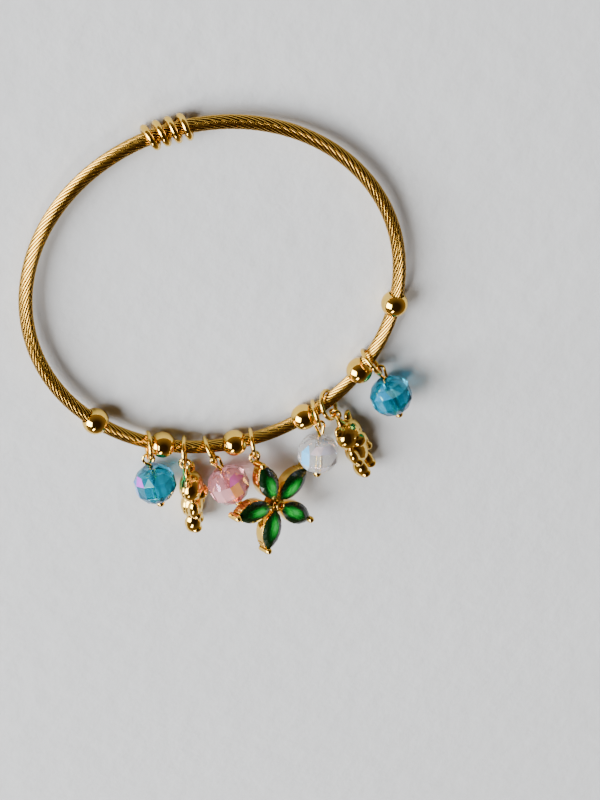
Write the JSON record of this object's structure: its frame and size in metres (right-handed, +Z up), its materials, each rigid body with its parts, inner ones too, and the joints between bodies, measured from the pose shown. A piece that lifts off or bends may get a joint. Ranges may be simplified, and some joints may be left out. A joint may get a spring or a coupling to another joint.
{
  "type": "charm bangle",
  "caption": "Closed twisted-cable bangle with round stoppers, a wire wrap and small drops: faceted crystals on head pins, cast bear charms and a flower of marquise stones.",
  "frame": {"origin": "middle of the hoop, on the surface that the bangle lies on", "axes": "+Z up out of the surface, along the wrist; -Y towards the drops; +X to the right of them seen from above with the drops at the bottom"},
  "size_m": [0.0725, 0.0915, 0.0115],
  "materials": {
    "cable_gold": "gold-coloured plated steel wire, twisted, polished with dark valleys",
    "polished_gold": "mirror-polished gold-coloured plate",
    "wire_gold": "polished gold-coloured round wire",
    "cast_gold": "polished gold-coloured casting",
    "blue_crystal": "faceted clear blue glass with an iridescent coating",
    "rose_crystal": "faceted pale rose glass with an iridescent coating",
    "clear_crystal": "faceted clear glass with an iridescent coating",
    "green_stone": "cut deep green glass with a flat table"
  },
  "bodies": {
    "root": {"cable": "cable_gold", "wire_wrap": "wire_gold", "stopper_ball_1": "polished_gold", "stopper_ball_2": "polished_gold", "stopper_ball_3": "polished_gold", "stopper_ball_4": "polished_gold", "stopper_ball_5": "polished_gold", "stopper_ball_6": "polished_gold", "jump_ring_1": "wire_gold", "jump_ring_2": "wire_gold", "jump_ring_3": "wire_gold", "jump_ring_4": "wire_gold", "jump_ring_5": "wire_gold", "jump_ring_6": "wire_gold", "jump_ring_7": "wire_gold", "crystal_blue_left": "blue_crystal", "crystal_rose": "rose_crystal", "crystal_clear": "clear_crystal", "crystal_blue_right": "blue_crystal", "head_pin_blue_left": "wire_gold", "head_pin_rose": "wire_gold", "head_pin_clear": "wire_gold", "head_pin_blue_right": "wire_gold", "bear_charm_left": "cast_gold", "bear_charm_right": "cast_gold", "flower_setting": "cast_gold", "petal_stone_1": "green_stone", "petal_stone_2": "green_stone", "petal_stone_3": "green_stone", "petal_stone_4": "green_stone", "petal_stone_5": "green_stone"}
  },
  "joints": []
}
